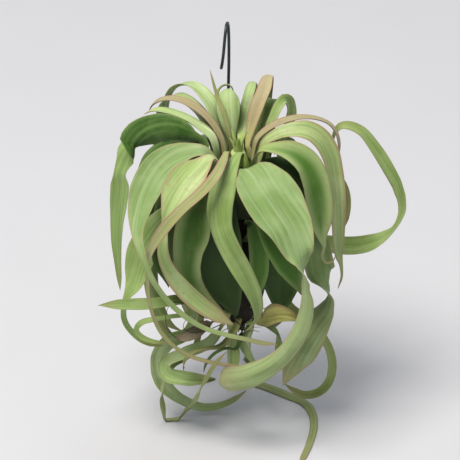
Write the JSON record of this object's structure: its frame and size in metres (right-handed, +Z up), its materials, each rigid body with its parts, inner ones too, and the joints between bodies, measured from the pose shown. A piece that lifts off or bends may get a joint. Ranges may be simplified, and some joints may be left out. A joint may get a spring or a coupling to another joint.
{
  "type": "air plant",
  "caption": "Curly-leaved air plant: a rosette of channelled ribbon leaves that arch out and curl under, on a short stem with a dark wire hanger, resting on its lowest curls.",
  "frame": {"origin": "middle of the plant's bounding box at the surface that it rests on", "axes": "+Z up along the stem, +X to the side of the wide far-right loop, -Y the front that the broad leaves fall over"},
  "size_m": [0.1388, 0.099, 0.1882],
  "materials": {
    "leaf_pale": "matte, with a pale bloom of fine scales",
    "leaf_blushed": "matte, with a pale bloom and a pink-brown margin",
    "leaf_silvery": "matte grey-green under a thick bloom",
    "leaf_mid": "matte green",
    "leaf_deep": "matte deep green, shaded side",
    "leaf_shade": "matte dark green, inside the rosette",
    "leaf_channelled": "matte green, dark along the channel and pale at the edges",
    "leaf_turned": "matte deep green under side",
    "leaf_green_olive": "matte green-olive",
    "sheath_olive": "matte pale olive",
    "leaf_curl": "matte olive with a pink flush",
    "leaf_olive": "matte olive",
    "leaf_pink": "matte pink-tan",
    "sheath_dry": "dry papery tan",
    "stem_bark": "rough dark brown",
    "heart_green": "matte yellow-green",
    "wire_dark": "smooth dark coating"
  },
  "bodies": {
    "root": {"stem": "stem_bark", "heart": "heart_green", "wire_hanger": "wire_dark", "leaf_back_center": "leaf_pale", "leaf_back_folded": "leaf_olive", "leaf_back_light": "leaf_pale", "leaf_back_pink": "leaf_pink", "leaf_back_green": "leaf_mid", "leaf_back_right_bend": "leaf_mid", "leaf_back_left_arch": "leaf_pale", "leaf_back_curl": "leaf_mid", "leaf_left_pale": "leaf_pale", "leaf_left_pink": "leaf_pink", "leaf_left_green": "leaf_pale", "leaf_far_left": "leaf_turned", "leaf_left_behind": "leaf_deep", "leaf_right_pink": "leaf_pink", "leaf_right_outer": "leaf_blushed", "leaf_right_inner": "leaf_channelled", "leaf_right_shaded": "leaf_shade", "leaf_right_loop": "leaf_mid", "leaf_right_behind": "leaf_olive", "leaf_front_wave": "leaf_mid", "leaf_front_left_curl": "leaf_curl", "leaf_front_left_broad": "leaf_silvery", "leaf_front_left_pale": "leaf_blushed", "leaf_front_trough": "leaf_channelled", "leaf_front_inner_left": "leaf_shade", "leaf_front_inner_right": "leaf_deep", "leaf_front_right_under": "leaf_deep", "leaf_front_shaded": "leaf_shade", "leaf_front_right_broad": "leaf_silvery", "leaf_lower_right_broad": "leaf_silvery", "leaf_lower_right_curl": "leaf_green_olive", "leaf_trailing": "leaf_green_olive", "leaf_olive_sheath": "sheath_olive", "leaf_under_right": "leaf_mid", "leaf_under_center": "leaf_pale", "leaf_under_left": "leaf_pale", "leaf_left_pointing": "leaf_mid", "leaf_left_hanging": "leaf_mid", "leaf_left_shaded": "leaf_shade", "leaf_left_small_loop": "leaf_mid", "leaf_lower_left_band": "leaf_pale", "leaf_lower_left_trough": "leaf_pale", "leaf_lower_left_loop": "leaf_green_olive", "leaf_lower_left_short": "leaf_olive", "leaf_lower_thin_arc": "leaf_shade", "sheath_dry_left": "sheath_dry", "leaf_rear_1": "leaf_mid", "leaf_rear_2": "leaf_deep", "leaf_rear_3": "leaf_pale", "leaf_rear_4": "leaf_mid", "leaf_rear_5": "leaf_deep", "leaf_rear_6": "leaf_pale", "leaf_rear_7": "leaf_mid", "leaf_rear_8": "leaf_deep", "leaf_rear_9": "leaf_pale", "leaf_rear_10": "leaf_mid", "leaf_rear_11": "leaf_deep"}
  },
  "joints": []
}
